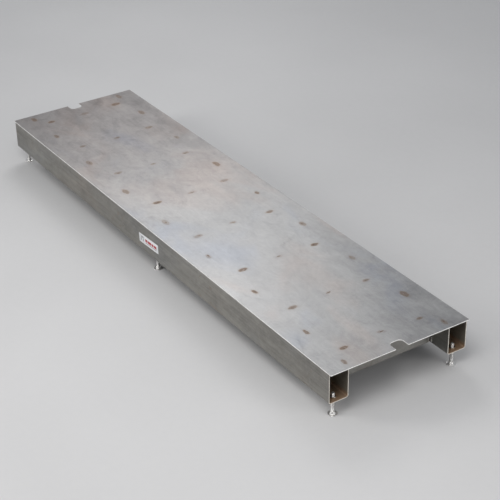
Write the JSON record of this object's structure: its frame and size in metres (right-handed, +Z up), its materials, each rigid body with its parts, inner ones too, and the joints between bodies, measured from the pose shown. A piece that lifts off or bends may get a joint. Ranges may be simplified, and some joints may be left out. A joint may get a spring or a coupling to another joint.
{
  "type": "scaffold plank",
  "caption": "Flat steel scaffold plank with a notched deck on folded side channels, cross plates underneath and screw-adjustable levelling feet.",
  "frame": {"origin": "on the ground under the middle of the deck, with the foot pads standing on z = 0", "axes": "+X along the length, +Y across the width from the labelled side to the other, +Z up through the deck"},
  "size_m": [2, 0.492, 0.16],
  "materials": {
    "deck_steel": "mill finish, faintly streaked",
    "channel_steel": "dull mill finish",
    "plate_steel": "dull mill finish",
    "nut_steel": "welded, heat tinted",
    "screw_steel": "bright plated",
    "pad_steel": "bright turned",
    "label_film": "satin printed film"
  },
  "bodies": {
    "plank": {"deck_plate": "deck_steel", "left_channel": "channel_steel", "right_channel": "channel_steel", "cross_plate_1": "plate_steel", "cross_plate_2": "plate_steel", "cross_plate_3": "plate_steel", "cross_plate_4": "plate_steel", "cross_plate_5": "plate_steel", "cross_plate_6": "plate_steel", "cross_plate_7": "plate_steel", "cross_plate_8": "plate_steel", "left_rear_weld_nut": "nut_steel", "left_middle_weld_nut": "nut_steel", "left_front_weld_nut": "nut_steel", "right_rear_weld_nut": "nut_steel", "right_middle_weld_nut": "nut_steel", "right_front_weld_nut": "nut_steel", "label": "label_film"},
    "left_rear_pad": {"left_rear_foot_pad": "pad_steel"},
    "left_rear_screw": {"left_rear_foot_screw": "screw_steel"},
    "left_middle_pad": {"left_middle_foot_pad": "pad_steel"},
    "left_middle_screw": {"left_middle_foot_screw": "screw_steel"},
    "left_front_pad": {"left_front_foot_pad": "pad_steel"},
    "left_front_screw": {"left_front_foot_screw": "screw_steel"},
    "right_rear_pad": {"right_rear_foot_pad": "pad_steel"},
    "right_rear_screw": {"right_rear_foot_screw": "screw_steel"},
    "right_middle_pad": {"right_middle_foot_pad": "pad_steel"},
    "right_middle_screw": {"right_middle_foot_screw": "screw_steel"},
    "right_front_pad": {"right_front_foot_pad": "pad_steel"},
    "right_front_screw": {"right_front_foot_screw": "screw_steel"}
  },
  "joints": [
    {"name": "left_rear_height", "type": "slide", "parent": "plank", "child": "left_rear_pad", "axis": [0, 0, 1], "range_m": [-0.012, 0.033]},
    {"name": "left_rear_turn", "type": "hinge", "parent": "left_rear_pad", "child": "left_rear_screw", "pos_m": [-0.967, -0.2145, 0.035], "axis": [0, 0, 1], "range_deg": [-2469, 6789]},
    {"name": "left_middle_height", "type": "slide", "parent": "plank", "child": "left_middle_pad", "axis": [0, 0, 1], "range_m": [-0.012, 0.033]},
    {"name": "left_middle_turn", "type": "hinge", "parent": "left_middle_pad", "child": "left_middle_screw", "pos_m": [0, -0.2145, 0.035], "axis": [0, 0, 1], "range_deg": [-2469, 6789]},
    {"name": "left_front_height", "type": "slide", "parent": "plank", "child": "left_front_pad", "axis": [0, 0, 1], "range_m": [-0.012, 0.033]},
    {"name": "left_front_turn", "type": "hinge", "parent": "left_front_pad", "child": "left_front_screw", "pos_m": [0.967, -0.2145, 0.035], "axis": [0, 0, 1], "range_deg": [-2469, 6789]},
    {"name": "right_rear_height", "type": "slide", "parent": "plank", "child": "right_rear_pad", "axis": [0, 0, 1], "range_m": [-0.012, 0.033]},
    {"name": "right_rear_turn", "type": "hinge", "parent": "right_rear_pad", "child": "right_rear_screw", "pos_m": [-0.967, 0.2145, 0.035], "axis": [0, 0, 1], "range_deg": [-2469, 6789]},
    {"name": "right_middle_height", "type": "slide", "parent": "plank", "child": "right_middle_pad", "axis": [0, 0, 1], "range_m": [-0.012, 0.033]},
    {"name": "right_middle_turn", "type": "hinge", "parent": "right_middle_pad", "child": "right_middle_screw", "pos_m": [0, 0.2145, 0.035], "axis": [0, 0, 1], "range_deg": [-2469, 6789]},
    {"name": "right_front_height", "type": "slide", "parent": "plank", "child": "right_front_pad", "axis": [0, 0, 1], "range_m": [-0.012, 0.033]},
    {"name": "right_front_turn", "type": "hinge", "parent": "right_front_pad", "child": "right_front_screw", "pos_m": [0.967, 0.2145, 0.035], "axis": [0, 0, 1], "range_deg": [-2469, 6789]}
  ],
  "couplings": [
    {"joint": "left_rear_turn", "follows": "left_rear_height", "rad_per_m": 3590.4},
    {"joint": "left_middle_turn", "follows": "left_middle_height", "rad_per_m": 3590.4},
    {"joint": "left_front_turn", "follows": "left_front_height", "rad_per_m": 3590.4},
    {"joint": "right_rear_turn", "follows": "right_rear_height", "rad_per_m": 3590.4},
    {"joint": "right_middle_turn", "follows": "right_middle_height", "rad_per_m": 3590.4},
    {"joint": "right_front_turn", "follows": "right_front_height", "rad_per_m": 3590.4}
  ]
}
